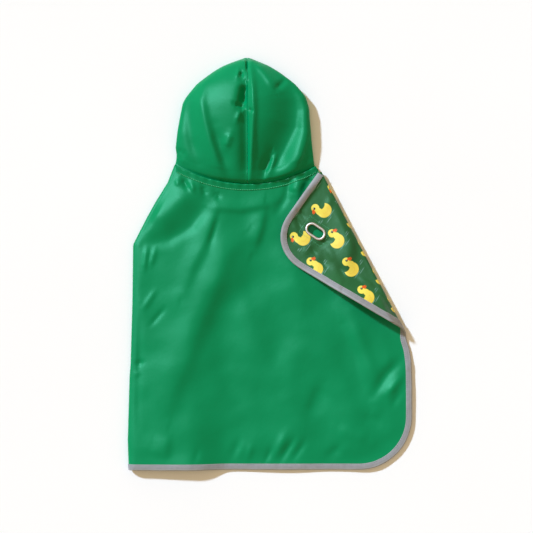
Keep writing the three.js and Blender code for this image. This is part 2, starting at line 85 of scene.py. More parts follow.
HOOD_GAP = 0.15  # half the gap between the hood's panels
SEAM_X = HOOD_HIGH[0] + HOOD_GAP
HEM_Y = LINING_LOW[1]
SIDE_X = LINING_HIGH[0]
HEM_CORNER = 73.0
NECK_LEFT = (-133.4, 136.4)
NECK_RIGHT = (64.4, 134.6)
NECK_DEPTH = 26.0
NECK_SPAN = 198.0
SIDE_FOOT = (189.4, -106.2)
SIDE_BEND = 16.0  # how soon the right side straightens below the fold
FLAP_CORNER = (204.2, 132.0)
FLAP_CORNER_RADIUS = 48.0
FOLD_TOP = np.array([71.4, 127.8])
FOLD_ANGLE = math.radians(-62.44)
FOLD_FOOT_T = 262.0
TAPE_JOIN_Y = -139.4
LEFT_OUTLINE = [(-288, -197), (-248, -198.5), (-160, -196), (-142, -194.6), (-53, -192), (26, -191),
                (66, -170.5), (84, -160.5), (113, -142.5), (136.4, -133.4)]  # y, x
UNDER_OUTLINE = [(-131, 136.4, 0), (-59, 26, 30), (-162, -41, 12), (-127.4, -106, 40),
                 (-127.4, -288, HEM_CORNER), (-193, -288, 0)]  # x, y, corner radius

# ---------------------------------------------------------------- creases
# Each is a line of points, its height (below zero for a trough), and how far it reaches on the
# left and on the right of the line, walking along it.
BODY_CREASES = [
    ([(-108, 101), (-132, 82), (-166, 52)], 4.6, 24, 26),
    ([(-122, 118), (-115, 104)], -3.4, 6, 5),
    ([(-131, 117), (-127, 108)], 1.8, 5, 5),
    ([(-110, 112), (-106, 100)], 1.8, 5, 5),
    ([(-95, 108), (-90, 94)], -2.0, 8, 6),
    ([(-76, 100), (-71, 88)], -1.4, 8, 7),
    ([(-84, 86), (-111, 52), (-142, 33), (-178, 26)], -3.0, 14, 22),
    ([(-75, 84), (-79, 62), (-93, 28), (-110, -6), (-122, -40)], 2.6, 13, 26),
    ([(-72, 68), (-86, 22)], -1.6, 8, 6),
    ([(-44, 34), (-61, 17), (-73, -12), (-84, -48), (-101, -84), (-122, -142), (-140, -187), (-158, -230)],
     3.4, 24, 38),
    ([(-143, -240), (-150, -274)], 2.2, 12, 36),
    ([(-184, -60), (-184, -110), (-186, -230)], -1.0, 9, 8),
    ([(-84, 79), (-40, 76), (2, 84)], 2.2, 17, 9),
    ([(-9, 78), (-14, 50), (-24, 20)], 3.0, 10, 25),
    ([(28, 118), (22, 92), (10, 72)], -2.2, 8, 8),
    ([(57, 120), (50, 104)], -4.0, 9, 8),
    ([(40, 120), (33, 98)], 3.8, 9, 12),
    ([(98, -34), (150, -68), (184, -98)], -2.4, 10, 24),
    ([(44, 116), (37, 90)], 2.2, 7, 7),
    ([(98, -88), (122, -163), (138, -200)], -2.8, 14, 26),
    ([(112, -70), (134, -130), (150, -168)], 2.0, 16, 14),
    ([(188, -132), (165, -155), (144, -186)], -3.4, 10, 13),
    ([(187, -155), (165, -183)], 3.0, 8, 8),
    ([(186, -176), (171, -200)], -1.6, 7, 7),
    ([(23, -238), (4, -276)], 1.8, 8, 10),
    ([(34, -246), (14, -279)], -2.0, 6, 7),
    ([(1, -262), (-7, -279)], -1.8, 5, 5),
    ([(-43, -250), (-55, -277)], -2.2, 8, 10),
    ([(-26, -256), (-32, -277)], 1.4, 7, 7),
    ([(49, -250), (31, -278)], -1.8, 7, 8),
    ([(98, -256), (79, -278)], -2.4, 12, 10),
    ([(-100, -262), (-106, -279)], -1.2, 6, 6),
    ([(74, -172), (56, -214)], -2.4, 18, 14),
    ([(40, -96), (20, -186)], 1.6, 26, 34),
    ([(-172, 22), (-176, -10)], 1.8, 5, 5),
    ([(-160, 20), (-167, -4)], 1.5, 5, 5),
    ([(-177, -64), (-160, -38)], 1.4, 5, 5),
    ([(-146, -62), (-168, -88)], -1.3, 4, 4),
    ([(-190, -142), (-178, -138)], -2.0, 5, 5),
    ([(-192, -158), (-183, -152)], 1.6, 4, 4),
    ([(8, 40), (30, -10), (44, -52)], 2.0, 22, 30),
    ([(-52, -30), (-20, -110), (-2, -160)], 1.8, 26, 34),
    ([(-62, -150), (-40, -216)], -1.8, 26, 24),
    ([(92, -232), (140, -248)], 1.8, 16, 14),
    ([(128, -214), (160, -226)], -1.4, 12, 12),
]
FLAP_CREASES = [
    ([(104, 84), (112, 52), (112, 28), (103, -16)], 5.2, 16, 34),
    ([(35, 64), (44, 50)], -2.0, 4, 4),
    ([(38, 74), (50, 63)], -1.8, 4, 4),
    ([(24, 40), (35, 30)], -1.6, 5, 5),
    ([(31, 55), (40, 42)], 1.2, 4, 4),
    ([(69, 25), (84, 34)], -2.2, 5, 5),
    ([(70, 66), (60, 74)], -1.4, 5, 4),
    ([(58, 24), (64, 12)], -2.2, 6, 6),
    ([(80, 22), (90, 2)], 1.6, 8, 8),
    ([(52, 22), (48, 12)], 1.3, 5, 5),
    ([(72, 8), (78, -6)], -1.4, 5, 6),
    ([(96, -2), (104, -22)], -1.8, 7, 7),
    ([(124, -20), (144, -32)], 1.6, 5, 5),
    ([(132, 12), (146, -14)], -2.0, 9, 9),
    ([(88, 92), (80, 80)], 1.2, 7, 7),
    ([(150, -42), (164, -60)], 1.4, 8, 8),
]
HOOD_CREASES = [
    ([(-92, 252), (-96, 224), (-91, 198), (-83, 170), (-71, 134), (-64, 112)], 3.6, 11, 14),
    ([(-111, 240), (-115, 212), (-111, 176), (-100, 140)], -3.6, 15, 12),
    ([(-78, 190), (-70, 160), (-58, 128)], -2.2, 12, 12),
    ([(-54, 180), (-62, 160)], 2.2, 9, 9),
    ([(-143, 164), (-121, 153)], -4.6, 6, 6),
    ([(-134, 149), (-117, 140)], 3.0, 6, 6),
    ([(-33, 228), (-33, 196), (-32.5, 150), (-32, 108)], -5.5, 5, 15),
    ([(-33.5, 249), (-34.5, 234), (-37, 217)], -8.0, 4.5, 12),
    ([(-49, 220), (-36, 216)], -3.4, 6, 5),
    ([(-40, 212), (-46, 196)], 1.6, 5, 6),
    ([(-40, 266), (-38.5, 257)], -3.2, 4, 6),
    ([(-43, 270), (-46, 256)], 1.4, 5, 6),
    ([(-32.6, 285), (-31.8, 267)], -3.6, 2.6, 2.6),
    ([(-27, 278), (-24, 240), (-23, 213), (-25, 168), (-28, 112)], 2.8, 8, 5),
    ([(-28, 213), (-24, 209)], -2.2, 3, 3),
    ([(24, 258), (30, 240), (37, 213), (34, 190), (21, 166), (6, 136), (-4, 112)], -11.0, 24, 48),
    ([(46, 240), (53, 213), (51, 172), (41, 145), (27, 114)], 4.5, 7, 17),
    ([(2, 152), (-6, 132), (-12, 112)], -4.0, 6, 13),
    ([(8, 152), (0, 128)], 1.6, 6, 5),
    ([(-22, 281), (-6, 262), (8, 241)], 2.4, 16, 9),
    ([(24, 259), (8, 241)], -2.6, 8, 6),
]

HOOD_LEFT = [(136.9, -133.6), (142, -132.4), (149, -130.4), (154, -130.6), (160, -132), (183, -129.3),
             (200, -126.3), (216, -123.2), (224, -121.6), (233, -116), (250, -102), (266, -81),
             (275, -67), (283, -47.6), (286.5, -38), (288.5, -32.2)]  # y, x
HOOD_RIGHT = [(136.9, 63.5), (149, 60.6), (166, 58.6), (183, 57.2), (199, 55.8), (216, 54.8),
              (233, 49.6), (250, 35), (266, 14), (275, 0), (283, -18), (286.5, -26), (288.5, -30.9)]
# Along the hood from neck to tip, 0 to 1: the height by its seam, how much of its underside is closed,
# and the height of its outer edge.
HOOD_HEIGHTS = [(0, 0), (0.02, 11), (0.05, 16), (0.14, 20), (0.3, 25), (0.5, 29), (0.65, 30.5), (0.8, 26.5),
                (0.92, 17.5), (0.97, 12), (1, 2.2)]
HOOD_UNDER_REACH = [(0, 0.1), (0.62, 1), (1, 1)]
HOOD_ROLLS = [(0, 3.4), (0.12, 7.5), (0.3, 10.5), (0.8, 10.5), (0.95, 7), (1, 1.6)]
# Long faint waves over the whole cloth: which way each runs, its length, its height and its start.
WAVES = [(0.4, 71, 0.4, 0.3), (1.9, 46, 0.16, 2.1), (2.6, 93, 0.5, 4.0), (1.2, 33, 0.05, 1.1),
         (0.1, 27, 0.03, 5.2), (2.2, 21, 0.02, 0.7)]


# ---------------------------------------------------------------- helpers
def smooth(t):
    t = np.clip(t, 0, 1)
    return t * t * (3 - 2 * t)


def ramp(x, start, end):
    return smooth((x - start) / (end - start))


def mix(a, b, t):
    return a + (b - a) * t


def unit(vectors):
    return vectors / np.maximum(1e-9, np.linalg.norm(vectors, axis=-1, keepdims=True))


def look_up(pairs, key):
    keys, values = zip(*pairs)
    return np.interp(key, keys, values)


def smooth_look_up(pairs, key, spread):
    """A table read with its corners rounded over spread."""
    weights = ((-1.0, 1), (-0.5, 2), (0.0, 3), (0.5, 2), (1.0, 1))
    return sum(w * look_up(pairs, key + k * spread) for k, w in weights) / 9


def crease_height(creases, x, y):
    """Sum of the soft ridges and troughs at each point."""
    total = np.zeros_like(x)
    for points, height, left_reach, right_reach in creases:
        points = np.array(points, float)
        lengths = np.hypot(*(points[1:] - points[:-1]).T)
        whole = lengths.sum()
        nearest = np.full_like(x, 1e9)
        share = np.zeros_like(x)
        side = np.zeros_like(x)
        done = 0.0
        for start, end, length in zip(points[:-1], points[1:], lengths):
            run = (end - start) / length
            along = np.clip((x - start[0]) * run[0] + (y - start[1]) * run[1], 0, length)
            dx = x - start[0] - run[0] * along
            dy = y - start[1] - run[1] * along
            distance = np.hypot(dx, dy)
            closer = distance < nearest
            nearest = np.where(closer, distance, nearest)
            share = np.where(closer, (done + along) / whole, share)
            side = np.where(closer, run[0] * dy - run[1] * dx, side)
            done += length
        reach = np.where(side > 0, left_reach, right_reach)
        fade = smooth(np.minimum(share, 1 - share) / 0.3) * 0.65 + 0.35
        total += height * fade * np.exp(-((nearest / (0.62 * reach)) ** 2))
    return total


def waves(x, y):
    """Faint unevenness of cloth that has been folded and laid out."""
    total = np.zeros_like(x)
    for turn, length, height, start in WAVES:
        along = x * math.cos(turn) + y * math.sin(turn)
        across = y * math.cos(turn) - x * math.sin(turn)
        bend = 0.9 * np.sin(across / length * 3.1 + start * 2)
        total += height * np.sin(2 * math.pi * along / length + start + bend)
    return total


def rounded_path(points, steps):
    """Straight lines whose corners are arcs. Each point is (x, y, radius)."""
    path = [np.array(points[0][:2], float)]
    for before, corner, after in zip(points[:-2], points[1:-1], points[2:]):
        at = np.array(corner[:2], float)
        back = np.array(before[:2]) - at
        ahead = np.array(after[:2]) - at
        back = back / np.hypot(*back)
        ahead = ahead / np.hypot(*ahead)
        half = math.acos(float(back @ ahead)) / 2
        radius = corner[2]
        middle = (back + ahead) / np.hypot(*(back + ahead))
        centre = at + middle * radius / math.sin(half)
        start = at + back * radius / math.tan(half) - centre
        turn = (math.pi - 2 * half) * math.copysign(1, ahead[0] * back[1] - ahead[1] * back[0])
        for k in range(steps + 1):
            angle = turn * k / steps
            c, s = math.cos(angle), math.sin(angle)
            path.append(centre + np.array([c * start[0] - s * start[1], s * start[0] + c * start[1]]))
    path.append(np.array(points[-1][:2], float))
    return np.array(path)


# ---------------------------------------------------------------- the cape's plan and heights
def neckline(x):
    half = (NECK_RIGHT[0] - NECK_LEFT[0]) / 2
    radius = (half ** 2 + NECK_DEPTH ** 2) / (2 * NECK_DEPTH)
    across = np.clip(x - NECK_LEFT[0] - half, -half, half)
    chord = mix(NECK_LEFT[1], NECK_RIGHT[1], np.clip((x - NECK_LEFT[0]) / (2 * half), 0, 1))
    curve = chord - np.sqrt(radius ** 2 - across ** 2) + radius - NECK_DEPTH
    past = (x - NECK_RIGHT[0]) / (FOLD_TOP[0] - NECK_RIGHT[0])
    return np.where(past > 0, mix(NECK_RIGHT[1], FOLD_TOP[1], past), curve)


def right_side(y):
    return SIDE_X - (SIDE_X - SIDE_FOOT[0]) * np.exp((y - SIDE_FOOT[1]) / SIDE_BEND)


UNDER_PATH = rounded_path(UNDER_OUTLINE, 14)[::-1]


def under_edge(y):
    return np.interp(y, UNDER_PATH[:, 1], UNDER_PATH[:, 0])


def edge_distance(x, y):
    """How far inside the taped side, corner and hem a point of the body is."""
    centre = np.array([SIDE_X - HEM_CORNER, HEM_Y + HEM_CORNER])
    side = np.hypot(np.maximum(0, right_side(np.minimum(y, SIDE_FOOT[1])) - x),
                    np.maximum(0, y - SIDE_FOOT[1]))
    straight = np.minimum(side, y - HEM_Y)
    round_part = HEM_CORNER - np.hypot(x - centre[0], y - centre[1])
    return np.where((x > centre[0]) & (y < centre[1]), round_part, straight)


def edge_wave(x, y):
    """Where the taped edge stands off the table, 0 to 1."""
    side = ramp(x, 120, 185) * ramp(-y, 112, 150) * (0.8 + 0.2 * np.sin(y / 17.0))
    hem = ramp(-y, 250, 285) * (0.55 + 0.45 * np.sin(x / 21.0 + 0.6))
    return np.clip(np.maximum(side, hem), 0, 1)


def body_height(x, y):
    support = mix(-127, -80, ramp(y, -90, 5))
    lift = mix(LEFT_LIFT, HEM_LIFT, ramp(-y, 180, 288)) - BODY_REST
    over_front = lift * (1 - ramp(x, support + 10, support + 80))
    inside = ramp(edge_distance(x, y), 6, 34)
    loose = BILLOW * inside + TAPE_RISE * (1 - inside)
    from_left = np.maximum(0, x - look_up(LEFT_OUTLINE, y))
    near_roll = ramp(from_left, 3, 14)
    creases = BODY_CREASES_SHARE * crease_height(BODY_CREASES, x, y) + waves(x, y)
    creases = creases * mix(0.35, 1, inside) * near_roll
    drop = EDGE_DROP * np.exp(-from_left / 4.5)
    lift = EDGE_LIFT * (1 - ramp(edge_distance(x, y), 0, 40)) * edge_wave(x, y)
    height = BODY_REST + np.hypot(over_front, loose) + creases - drop + lift
    floor = BODY_REST + mix(TAPE_RISE + 0.2, 0.25, inside)
    return floor + np.logaddexp(0, (height - floor) * 1.6) / 1.6


def left_roll(y):
    outline = smooth_look_up(LEFT_OUTLINE, y, 2.6)
    radius = (body_height(outline + 3, y) - UNDER_REST) / 2
    return outline + radius, radius


ALONG = np.array([math.cos(FOLD_ANGLE), math.sin(FOLD_ANGLE)])
OUTWARD = np.array([-ALONG[1], ALONG[0]])


def fold_place(x, y):
    dx, dy = x - FOLD_TOP[0], y - FOLD_TOP[1]
    return dx * ALONG[0] + dy * ALONG[1], dx * OUTWARD[0] + dy * OUTWARD[1]


def fold_point(t, d):
    return (FOLD_TOP[0] + ALONG[0] * t + OUTWARD[0] * d,
            FOLD_TOP[1] + ALONG[1] * t + OUTWARD[1] * d)


def flap_height(t):
    return mix(FLAP_REST, FLAP_OPEN, ramp(t, 90, 245))


def right_roll(t):
    t = np.clip(t, 0, FOLD_FOOT_T)
    radius = np.full_like(t, 2.5)
    for _ in range(3):
        x, y = fold_point(t, -radius)
        radius = (flap_height(t) - body_height(x, y)) / 2
    return radius


FRONT_PATH = rounded_path([(60, 130.8, 0), (*FLAP_CORNER, FLAP_CORNER_RADIUS), (*SIDE_FOOT, 0)], 14)
FRONT_T, FRONT_D = fold_place(*FRONT_PATH.T)


def front_reach(t):
    """Length of cloth past the start of the fold, at t along it."""
    reach = np.interp(t, FRONT_T, FRONT_D) + right_roll(t)
    return np.where(t >= FOLD_FOOT_T - 1e-6, 0, np.maximum(0, reach))


def flap_lift(t, past):
    """The flap's lower edge stands up off the body."""
    to_edge = np.interp(t, FRONT_T, FRONT_D) - past
    lower = FLAP_LOWER_LIFT * ramp(t, 95, 185) * (1 - ramp(t, 232, 258)) * (1 - ramp(to_edge, 0, 38))
    upper = FLAP_UPPER_LIFT * (1 - ramp(t, 22, 75)) * ramp(t, 0, 14) * (1 - ramp(to_edge, 0, 30))
    return lower + upper


def folded(x, y):
    """From places on the unfolded cloth to points of its middle surface."""
    x = np.asarray(x, float)
    y = np.asarray(y, float)
    start, radius = left_roll(y)
    under = np.maximum(0, start - x)
    arc = math.pi * radius
    angle = np.minimum(under, arc) / radius
    sideways = np.where(under < arc, -radius * np.sin(angle), under - arc)
    left_x = start + sideways
    left_z = UNDER_REST + radius * (1 + np.cos(angle))
    on_left = under > 0
    cape_x = np.where(on_left, left_x, x)
    cape_z = np.where(on_left, left_z, body_height(np.where(on_left, start, x), y))

    t, d = fold_place(x, y)
    radius = right_roll(t)
    past = np.where((t > -8) & (d > -12), d + radius, -1)
    arc = math.pi * radius
    angle = np.clip(np.minimum(past, arc) / radius, 0, math.pi)
    sideways = np.where(past < arc, radius * np.sin(angle), arc - past)
    flap_x, flap_y = fold_point(t, sideways - radius)
    flat = ramp(past, arc * 0.7, arc + 8)
    flap_z = flap_height(t) - radius * (1 + np.cos(angle))
    folds = crease_height(FLAP_CREASES, flap_x, flap_y) + FLAP_WAVES_SHARE * waves(flap_x, flap_y)
    flap_z = flap_z + flat * (flap_lift(t, d) + folds)
    both = ((flap_x, cape_x), (flap_y, y), (flap_z, cape_z))
    return np.stack([np.where(past > 0, flap, cape) for flap, cape in both], axis=-1)


def surface(x, y):
    """Points and normals of the cape at places on the unfolded cloth."""
    x = np.asarray(x, float)
    y = np.asarray(y, float)
    step = 0.15
    over_x = folded(x + step, y) - folded(x - step, y)
    over_y = folded(x, y + step) - folded(x, y - step)
    return folded(x, y), unit(np.cross(over_x, over_y))


# ---------------------------------------------------------------- mesh making
def grid_index(rows, columns):
    return np.arange(rows * columns).reshape(rows, columns).tolist()


def grid_faces(index, flip=False):
    faces = []
    for upper, lower in zip(index[:-1], index[1:]):
        for i in range(min(len(upper), len(lower)) - 1):
            ring = []
            for vertex in (upper[i], lower[i], lower[i + 1], upper[i + 1]):
                if vertex not in ring:
                    ring.append(vertex)
            if len(ring) > 2:
                faces.append(ring[::-1] if flip else ring)
    return faces


def put_in_scene(name, data):
    placed = bpy.data.objects.new(name, data)
    bpy.context.scene.collection.objects.link(placed)
    return placed


def new_object(name, points, faces, uvs, material, sharp=50):
    mesh = bpy.data.meshes.new(name)
    mesh.from_pydata([tuple(p) for p in np.asarray(points) * MM], [], faces)
    layer = mesh.uv_layers.new(name="cloth")
    loop_vertex = np.empty(len(mesh.loops), dtype=np.int32)
    mesh.loops.foreach_get("vertex_index", loop_vertex)
    layer.data.foreach_set("uv", (np.asarray(uvs, float) * MM)[loop_vertex].ravel())
    mesh.polygons.foreach_set("use_smooth", [True] * len(mesh.polygons))
    mesh.set_sharp_from_angle(angle=math.radians(sharp))
    mesh.materials.append(material)
    mesh.validate()
    return put_in_scene(name, mesh)


def closed_sheet(name, outer, inner, faces, uvs, material):
    """Two facing sheets joined round their edges."""
    outer, inner, uvs = np.reshape(outer, (-1, 3)), np.reshape(inner, (-1, 3)), np.reshape(uvs, (-1, 2))
    count = len(outer)
    edges = {edge for face in faces for edge in zip(face, face[1:] + face[:1])}
    rims = [[b, a, a + count, b + count] for a, b in edges if (b, a) not in edges]
    rims.sort()
    back = [[vertex + count for vertex in face[::-1]] for face in faces]
    used = sorted({vertex for face in faces for vertex in face})
    place = {vertex: k for k, vertex in enumerate(used)}
    place.update({vertex + count: k + len(used) for k, vertex in enumerate(used)})
    all_faces = [[place[vertex] for vertex in face] for face in faces + back + rims]
    points = np.concatenate([outer[used], inner[used]])
    return new_object(name, points, all_faces, np.concatenate([uvs[used]] * 2), material)


# ---------------------------------------------------------------- materials
class Nodes:
    """Short names for making a material's nodes. An input is a value or another node's output."""

    def __init__(self, name):
        self.material = bpy.data.materials.new(name)
        self.material.use_nodes = True
        self.tree = self.material.node_tree

    def fill(self, node, inputs):
        for key, source in inputs.items():
            if hasattr(source, "is_output"):
                self.tree.links.new(source, node.inputs[key])
            else:
                node.inputs[key].default_value = source

    def shade(self, inputs):
        """Fill the shader's inputs, and give back the material."""
        self.fill(self.tree.nodes["Principled BSDF"], inputs)
        return self.material

    def node(self, kind, inputs, **settings):
        made = self.tree.nodes.new(kind)
        for key, value in settings.items():
            setattr(made, key, value)
        self.fill(made, inputs)
        return made.outputs

    def math(self, operation, a, b=0.0):
        return self.node("ShaderNodeMath", {0: a, 1: b}, operation=operation)[0]

    def add(self, a, b):
        return self.math("ADD", a, b)

    def sub(self, a, b):
        return self.math("SUBTRACT", a, b)

    def mul(self, a, b):
        return self.math("MULTIPLY", a, b)

    def remap(self, value, start, end, low, high):
        """value from start to end turned into low to high, and held there beyond."""
        inputs = {"Value": value, "From Min": start, "From Max": end, "To Min": low, "To Max": high}
        return self.node("ShaderNodeMapRange", inputs)[0]

    def between(self, value, low, high):
        """value from 0 to 1 turned into low to high."""
        return self.remap(value, 0.0, 1.0, low, high)

    def step_down(self, value, edge, soft):
        """1 where value is below edge, 0 above it."""
        return self.remap(value, edge - soft, edge + soft, 1.0, 0.0)

    def colour_mix(self, factor, a, b):
        return self.node("ShaderNodeMix", {0: factor, 6: a, 7: b}, data_type="RGBA")[2]

    def noise(self, vector, scale, detail=2.0, roughness=0.5):
        inputs = {"Vector": vector, "Scale": scale, "Detail": detail, "Roughness": roughness}
        return self.node("ShaderNodeTexNoise", inputs)["Fac"]

    def bump(self, height, strength, distance, under=None):
        inputs = {"Height": height, "Strength": strength, "Distance": distance}
        if under is not None:
            inputs["Normal"] = under
        return self.node("ShaderNodeBump", inputs)[0]

    def object_place(self):
        return self.node("ShaderNodeTexCoord", {})["Object"]

    def cloth_uv(self):
        """The place on the cloth, in metres: the whole vector, and its two parts in millimetres."""
        place = self.node("ShaderNodeUVMap", {}, uv_map="cloth")[0]
        parts = self.node("ShaderNodeSeparateXYZ", {0: place})
        return place, self.mul(parts[0], 1000.0), self.mul(parts[1], 1000.0)

    def weave(self, u, v, pitch):
        """Plain weave: crossed threads of that pitch in millimetres, 0 to 1."""
        turn = 2 * math.pi / pitch
        across = self.math("SINE", self.mul(u, turn))
        down = self.math("SINE", self.mul(v, turn))
        return self.add(0.5, self.mul(0.5, self.mul(across, down)))


def srgb(red, green, blue):
    """A colour given as on a screen, 0 to 255, in linear light."""
    parts = [c / 255 for c in (red, green, blue)]
    return tuple(c / 12.92 if c <= 0.04045 else ((c + 0.055) / 1.055) ** 2.4 for c in parts) + (1.0,)


def shell_material():
    n = Nodes("coated_green_cloth")
    place, u, v = n.cloth_uv()
    large = n.noise(place, 14.0, 3.0)
    base = n.colour_mix(large, srgb(0, 127, 76), srgb(0, 136, 83))
    fine = n.noise(place, 900.0)
    worn = n.noise(place, 60.0, 4.0, 0.6)
    wrinkle = n.bump(n.noise(place, 110.0, 4.0, 0.55), 0.22, 0.0006)
    return n.shade({
        "Base Color": n.colour_mix(n.mul(fine, 0.12), base, srgb(0, 116, 66)),
        "Roughness": n.between(worn, 0.3, 0.39),
        "Specular IOR Level": 0.3,
        "Specular Tint": (0.36, 1.0, 0.68, 1),
        "Normal": n.bump(n.weave(u, v, 0.55), 0.12, 0.00005, wrinkle),
    })


def duck_shapes(n, x, y):
    """Masks of one duck, facing +x, drawn round (0, 0) in millimetres."""

    def circle(cx, cy, rx, ry):
        dx = n.mul(n.sub(x, cx), 1.0 / rx)
        dy = n.mul(n.sub(y, cy), 1.0 / ry)
        length = n.math("SQRT", n.add(n.mul(dx, dx), n.mul(dy, dy)))
        return n.mul(n.sub(length, 1.0), min(rx, ry))

    def slope(ax, ay, bx, by):
        """Signed distance to the line from a to b, above zero on its left."""
        length = math.hypot(bx - ax, by - ay)
        across = n.mul(n.sub(y, ay), (bx - ax) / length)
        return n.sub(across, n.mul(n.sub(x, ax), (by - ay) / length))

    hollow = circle(-4.9, 7.8, 8.4, 8.2)
    body = n.math("MAXIMUM", circle(-2.2, -3.6, 10.4, 9.8), n.mul(hollow, -1.0))
    neck = circle(3.4, 1.4, 4.6, 4.8)
    head = circle(2.5, 8.6, 5.7, 5.7)
    whole = n.math("MINIMUM", n.math("MINIMUM", body, neck), head)
    beak_up = n.math("MAXIMUM", circle(8.8, 8.6, 3.6, 1.9), slope(6.0, 11.4, 12.2, 7.0))
    beak_low = n.math("MAXIMUM", circle(8.6, 6.2, 2.8, 1.3), slope(6.0, 7.8, 11.2, 6.0))
    beak = n.math("MINIMUM", beak_up, beak_low)
    eye = circle(3.9, 9.4, 1.5, 1.7)
    glint = circle(4.4, 10.0, 0.45, 0.45)
    wing = n.math("ABSOLUTE", circle(-3.0, -4.4, 5.0, 3.4))
    wing = n.math("MAXIMUM", wing, n.sub(y, -3.8))
    strokes = None
    for cx, cy, half in ((-3.0, -14.2, 6.5), (4.5, -16.4, 5.0), (13.5, -9.5, 3.2), (14.8, -7.0, 2.2)):
        stroke = circle(cx, cy, half, 0.42)
        strokes = stroke if strokes is None else n.math("MINIMUM", strokes, stroke)
    return {"whole": whole, "beak": beak, "eye": eye, "glint": glint, "wing": wing, "strokes": strokes}


DUCK_ORIGIN = (117.8, 98.1)  # the first row's duck, on the unfolded front
DUCK_STEP = (49.2, 2.0)  # to the next duck in the row
DUCK_ROW = (21.0, -39.0)  # to the row below
DUCK_CLOSER = 13.5  # the ducks left of that first one stand this much nearer
DUCK_TURN_ROWS = 6.0  # one row in so many faces the other way


def lining_material():
    n = Nodes("duck_print_lining")
    place, u, v = n.cloth_uv()
    dx, dy = n.sub(u, DUCK_ORIGIN[0]), n.sub(v, DUCK_ORIGIN[1])
    whole = DUCK_STEP[1] * DUCK_ROW[0] - DUCK_STEP[0] * DUCK_ROW[1]
    column = n.sub(n.mul(dy, DUCK_ROW[0] / whole), n.mul(dx, DUCK_ROW[1] / whole))
    row = n.sub(n.mul(dx, DUCK_STEP[1] / whole), n.mul(dy, DUCK_STEP[0] / whole))
    column, row = n.math("ROUND", column), n.math("ROUND", row)
    closer = n.mul(n.step_down(column, -0.5, 0.01), DUCK_CLOSER)
    x = n.sub(dx, n.add(n.add(n.mul(column, DUCK_STEP[0]), closer), n.mul(row, DUCK_ROW[0])))
    y = n.sub(dy, n.add(n.mul(column, DUCK_STEP[1]), n.mul(row, DUCK_ROW[1])))
    turned = n.step_down(n.math("FLOORED_MODULO", row, DUCK_TURN_ROWS), 0.5, 0.01)
    x = n.mul(x, n.sub(n.mul(turned, 2.0), 1.0))
    wobble = n.noise(place, 40.0, 1.0)
    x = n.add(x, n.mul(n.sub(wobble, 0.5), 1.2))
    duck = duck_shapes(n, x, y)
    soft = 0.22
    large = n.noise(place, 18.0, 3.0)
    ground = n.colour_mix(large, srgb(30, 86, 46), srgb(48, 106, 60))
    thread = n.weave(u, v, 0.6)
    ground = n.colour_mix(n.mul(thread, 0.25), ground, srgb(30, 80, 44))
    stroke = n.mul(n.step_down(duck["strokes"], 0.0, soft), n.between(n.noise(place, 300.0), 0.2, 1.2))
    colour = n.colour_mix(n.mul(stroke, 0.7), ground, srgb(150, 196, 190))
    shade = n.remap(y, -11.0, 4.0, 0.0, 1.0)
    yellow = n.colour_mix(shade, srgb(226, 192, 50), srgb(240, 224, 84))
    edge = n.step_down(n.math("ABSOLUTE", duck["whole"]), 0.3, 0.5)
    yellow = n.colour_mix(n.mul(edge, 0.5), yellow, srgb(222, 178, 48))
    yellow = n.colour_mix(n.mul(n.step_down(duck["wing"], 0.25, 0.3), 0.55), yellow, srgb(214, 160, 40))
    wash = n.noise(place, 120.0, 3.0)
    yellow = n.colour_mix(n.mul(wash, 0.35), yellow, srgb(250, 236, 130))
    for part, paint in (("whole", yellow), ("beak", srgb(230, 92, 34)), ("eye", srgb(28, 30, 40)),
                        ("glint", srgb(240, 240, 235))):
        colour = n.colour_mix(n.step_down(duck[part], 0.0, soft), colour, paint)
    wrinkle = n.bump(n.noise(place, 90.0, 4.0, 0.55), 0.35, 0.0009)
    return n.shade({
        "Base Color": colour,
        "Roughness": 0.4,
        "Specular IOR Level": 0.3,
        "Specular Tint": (0.6, 1.0, 0.7, 1),
        "Normal": n.bump(thread, 0.25, 0.00008, wrinkle),
    })


def tape_material():
    """Grey reflective tape. u runs along it and v in from its folded edge, in millimetres."""
    n = Nodes("grey_reflective_tape")
    place, u, v = n.cloth_uv()
    ribs = n.math("SINE", n.mul(n.add(u, n.mul(v, 0.6)), 2 * math.pi / 1.1))
    mottle = n.noise(place, 220.0, 3.0)
    base = n.colour_mix(mottle, srgb(130, 131, 133), srgb(156, 156, 158))
    base = n.colour_mix(n.mul(n.add(ribs, 1.0), 0.12), base, srgb(110, 111, 116))
    rim = n.step_down(n.math("ABSOLUTE", n.sub(v, TAPE_WIDTH - 0.6)), 0.5, 0.3)
    fold = n.step_down(n.math("ABSOLUTE", n.sub(v, 0.7)), 0.6, 0.4)
    lines = n.math("MAXIMUM", rim, fold)
    wave = n.bump(n.noise(place, 130.0), 0.3, 0.0006)
    return n.shade({
        "Base Color": n.colour_mix(n.mul(lines, 0.35), base, srgb(180, 180, 182)),
        "Roughness": n.between(mottle, 0.46, 0.62),
        "Specular IOR Level": 0.3,
        "Normal": n.bump(ribs, 0.25, 0.00008, wave),
    })


def thread_material(name, colour, dark):
    n = Nodes(name)
    twist = n.noise(n.object_place(), 2600.0, 1.0)
    return n.shade({
        "Base Color": n.colour_mix(twist, colour, dark),
        "Roughness": 0.6,
        "Normal": n.bump(twist, 0.4, 0.0001),
    })


def metal_material():
    n = Nodes("plated_eyelet_metal")
    scuff = n.noise(n.object_place(), 700.0, 4.0, 0.65)
    return n.shade({
        "Base Color": n.colour_mix(scuff, srgb(184, 176, 168), srgb(212, 208, 204)),
        "Metallic": 1.0,
        "Roughness": n.between(scuff, 0.34, 0.5),
        "Normal": n.bump(scuff, 0.1, 0.0001),
    })


def floor_material():
    n = Nodes("pale_floor")
    base = n.colour_mix(n.noise(n.object_place(), 3.0), (0.90, 0.90, 0.90, 1), (0.93, 0.93, 0.93, 1))
    return n.shade({"Base Color": base, "Roughness": 0.9, "Specular IOR Level": 0.1})


